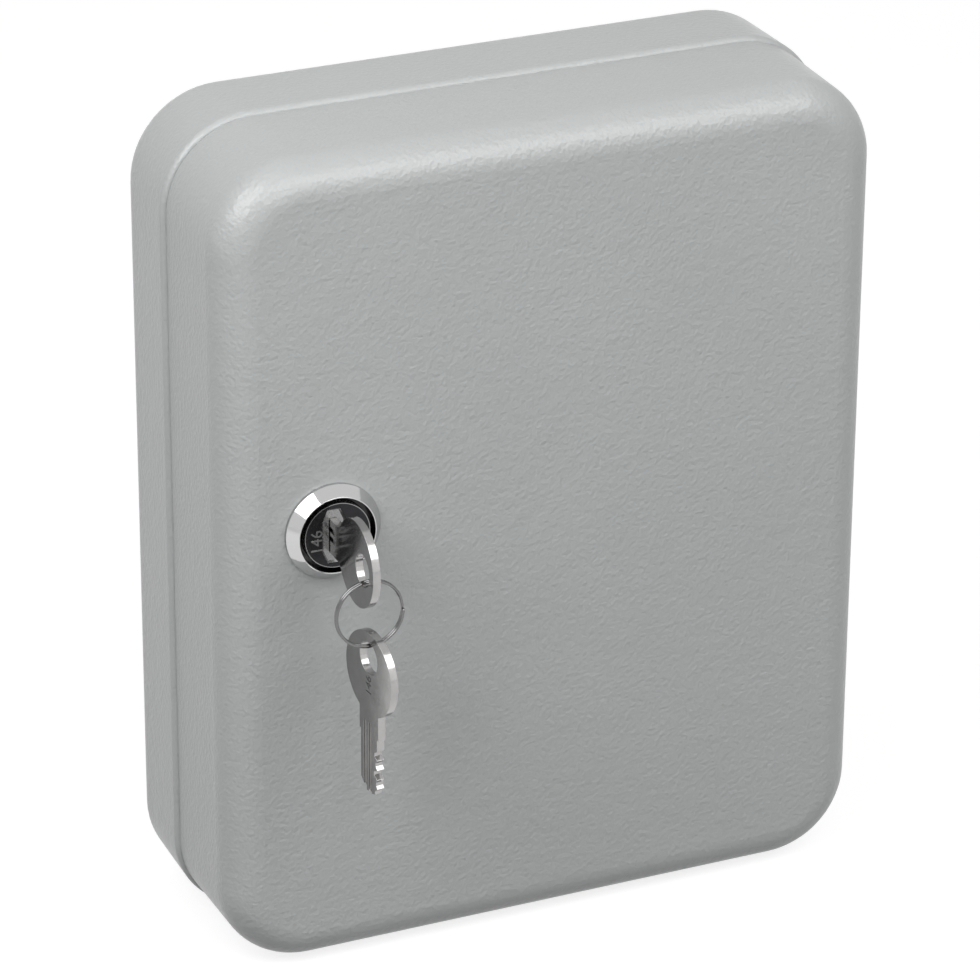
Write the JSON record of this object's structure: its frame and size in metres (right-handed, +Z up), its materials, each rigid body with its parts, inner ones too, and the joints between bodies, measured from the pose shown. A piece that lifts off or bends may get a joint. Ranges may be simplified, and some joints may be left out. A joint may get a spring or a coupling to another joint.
{
  "type": "key cabinet",
  "caption": "Lockable wall key box: pressed steel pan with a hinged door pan, cam lock with key, ring and spare key, and hook rails inside.",
  "frame": {"origin": "middle of the four wall holes, on the outer face of the back pan", "axes": "+X to the right seen from the front, +Y into the wall, +Z up; the door faces -Y"},
  "size_m": [0.1636, 0.0893, 0.2],
  "materials": {
    "grey_paint": "light grey textured powder coat",
    "zinc_steel": "zinc plated steel",
    "zinc_alloy": "plated die casting",
    "chrome": "polished chrome plate",
    "nickel": "nickel plate",
    "brass": "stamped brass",
    "white_strip": "matt white adhesive strip"
  },
  "bodies": {
    "case": {"back_case": "grey_paint", "strike_plate": "zinc_steel", "hinge_leaf_case": "zinc_steel", "hinge_pin": "zinc_steel", "hook_rail_1": "zinc_steel", "hook_rail_2": "zinc_steel", "hook_rail_3": "zinc_steel", "hook_rail_4": "zinc_steel", "number_strip_1": "white_strip", "number_strip_2": "white_strip", "number_strip_3": "white_strip", "number_strip_4": "white_strip"},
    "door": {"door_cover": "grey_paint", "hinge_leaf_door": "zinc_steel", "lock_housing": "chrome", "lock_washer": "zinc_steel", "lock_nut": "zinc_steel"},
    "plug": {"lock_plug": "zinc_alloy", "wafers": "brass", "wafer_springs": "zinc_steel", "stop_washer": "zinc_steel", "cam": "zinc_steel", "cam_washer": "zinc_steel", "cam_screw": "zinc_steel"},
    "key": {"key_in_lock": "nickel"},
    "ring": {"key_ring": "nickel"},
    "spare": {"spare_key": "nickel"}
  },
  "joints": [
    {"name": "door_hinge", "type": "hinge", "parent": "case", "child": "door", "pos_m": [0.08072, -0.0257, 0], "axis": [0, 0, 1], "range_deg": [0, 120]},
    {"name": "lock_turn", "type": "hinge", "parent": "door", "child": "plug", "pos_m": [-0.0542, -0.0575, 0.0115], "axis": [0, 1, 0], "range_deg": [0, 90]},
    {"name": "key_slide", "type": "slide", "parent": "plug", "child": "key", "axis": [0, -1, 0], "range_m": [0, 0.014]},
    {"name": "ring_swing", "type": "hinge", "parent": "key", "child": "ring", "pos_m": [-0.0543, -0.0792, 0.00845], "axis": [1, 0, 0], "range_deg": [-40, 12]},
    {"name": "spare_key_swing", "type": "hinge", "parent": "ring", "child": "spare", "pos_m": [-0.0537, -0.0792, -0.00715], "axis": [1, 0, 0], "range_deg": [-45, 10]}
  ]
}
